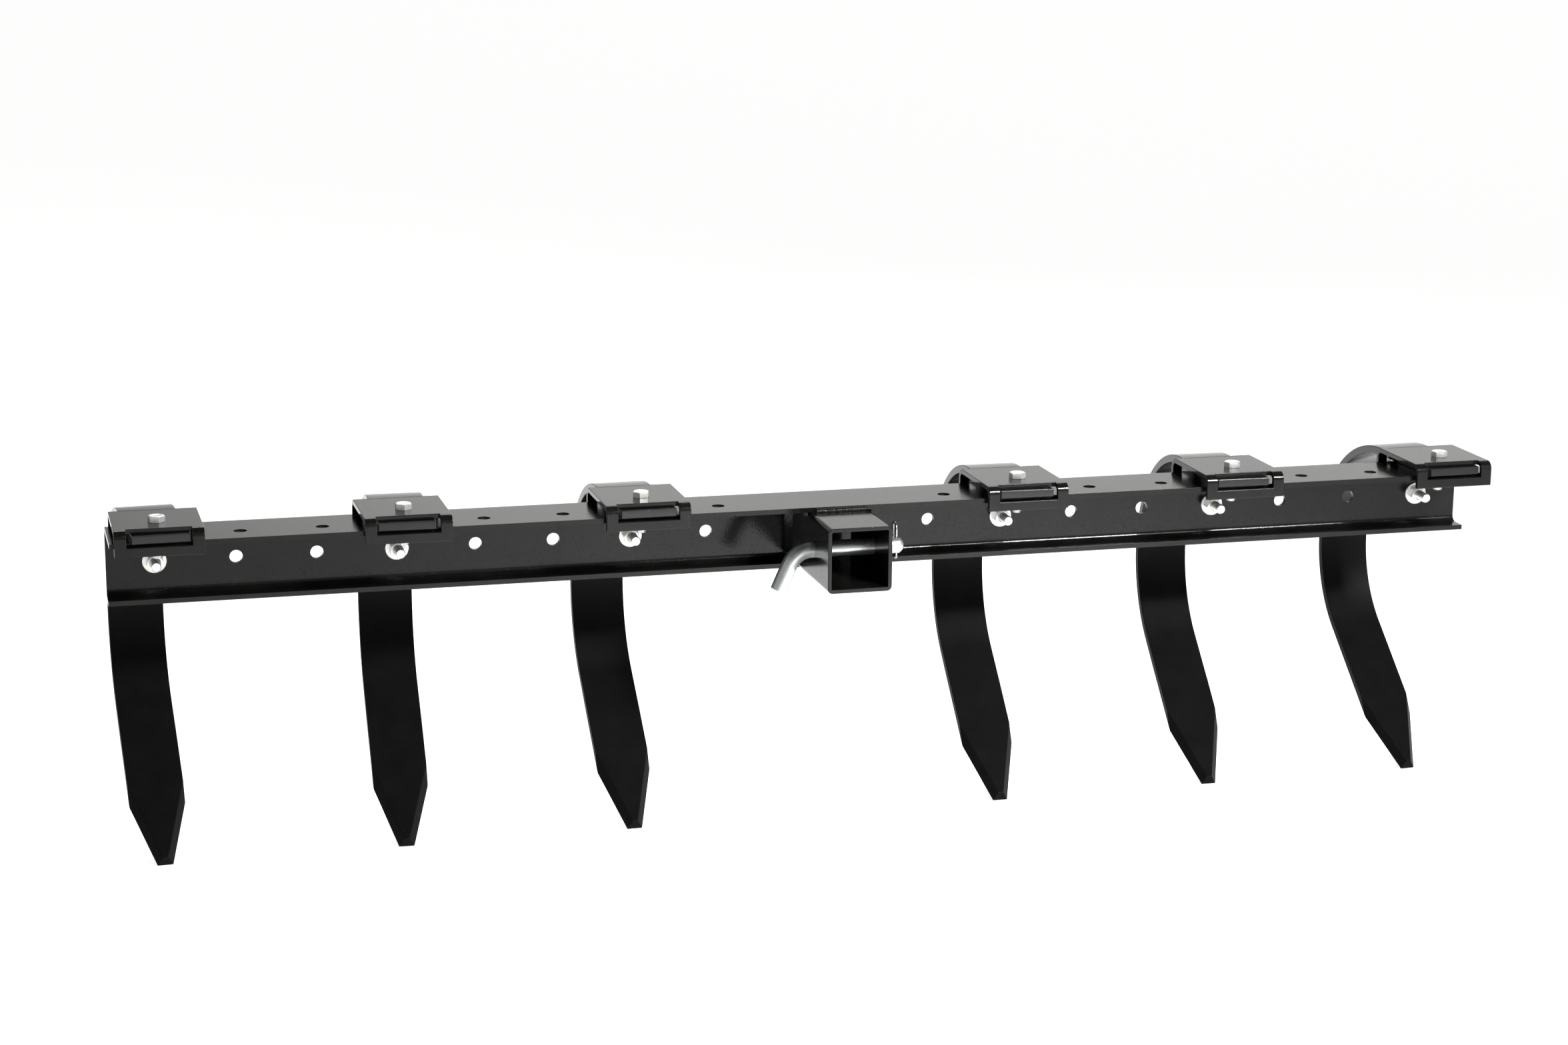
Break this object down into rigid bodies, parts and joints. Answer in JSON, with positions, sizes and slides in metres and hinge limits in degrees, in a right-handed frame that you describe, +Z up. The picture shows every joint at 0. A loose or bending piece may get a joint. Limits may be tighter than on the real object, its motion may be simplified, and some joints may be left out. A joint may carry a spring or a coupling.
{
  "type": "lawn dethatcher",
  "caption": "Channel tool bar on a square hitch receiver, with C-shank steel tines in bent-plate clamps and a pinned hitch.",
  "frame": {"origin": "where the hitch pin's axis crosses the receiver tube's axis", "axes": "+X along the bar, towards the pin's clip end; -Y out of the receiver's mouth, the way the hitch bar leaves; +Z up, towards the clamp bolts' heads"},
  "size_m": [1.3854, 0.3033, 0.3501],
  "materials": {
    "bar_paint": "gloss black powder coat",
    "tube_paint": "gloss black powder coat",
    "weld_paint": "painted weld bead",
    "clamp_paint": "gloss black powder coat",
    "tine_black": "semi-gloss black coating on spring steel",
    "bolt_zinc": "bright zinc plate",
    "washer_zinc": "bright zinc plate",
    "pin_zinc": "bright zinc plate",
    "clip_zinc": "bright zinc-plated wire"
  },
  "bodies": {
    "frame": {"toolbar": "bar_paint", "receiver_tube": "tube_paint", "receiver_welds": "weld_paint", "clamp_1": "clamp_paint", "clamp_2": "clamp_paint", "clamp_3": "clamp_paint", "clamp_4": "clamp_paint", "clamp_5": "clamp_paint", "clamp_6": "clamp_paint", "clamp_bolts": "bolt_zinc", "clamp_washers": "washer_zinc", "clamp_nuts": "bolt_zinc", "web_bolts": "bolt_zinc", "web_washers": "washer_zinc", "web_nuts": "bolt_zinc"},
    "tine_1": {"tine_1": "tine_black"},
    "tine_2": {"tine_2": "tine_black"},
    "tine_3": {"tine_3": "tine_black"},
    "tine_4": {"tine_4": "tine_black"},
    "tine_5": {"tine_5": "tine_black"},
    "tine_6": {"tine_6": "tine_black"},
    "pin": {"hitch_pin": "pin_zinc"},
    "clip": {"hitch_clip": "clip_zinc"}
  },
  "joints": [
    {"name": "tine_1_swivel", "type": "hinge", "parent": "frame", "child": "tine_1", "pos_m": [-0.6477, 0.0475, 0.03651], "axis": [0, 0, 1], "range_deg": [-7.1, 0.9]},
    {"name": "tine_2_swivel", "type": "hinge", "parent": "frame", "child": "tine_2", "pos_m": [-0.4191, 0.0475, 0.03651], "axis": [0, 0, 1], "range_deg": [-1.7, 6.3]},
    {"name": "tine_3_swivel", "type": "hinge", "parent": "frame", "child": "tine_3", "pos_m": [-0.1905, 0.0475, 0.03651], "axis": [0, 0, 1], "range_deg": [-4.8, 3.2]},
    {"name": "tine_4_swivel", "type": "hinge", "parent": "frame", "child": "tine_4", "pos_m": [0.1905, 0.0475, 0.03651], "axis": [0, 0, 1], "range_deg": [-2.5, 5.5]},
    {"name": "tine_5_swivel", "type": "hinge", "parent": "frame", "child": "tine_5", "pos_m": [0.4191, 0.0475, 0.03651], "axis": [0, 0, 1], "range_deg": [-2, 6]},
    {"name": "tine_6_swivel", "type": "hinge", "parent": "frame", "child": "tine_6", "pos_m": [0.6477, 0.0475, 0.03651], "axis": [0, 0, 1], "range_deg": [-6.5, 1.5]},
    {"name": "pin_slide", "type": "slide", "parent": "frame", "child": "pin", "axis": [1, 0, 0], "range_m": [-0.0175, 0.0015]},
    {"name": "clip_pull", "type": "slide", "parent": "pin", "child": "clip", "axis": [0, 0, 1], "range_m": [0, 0.05]}
  ]
}
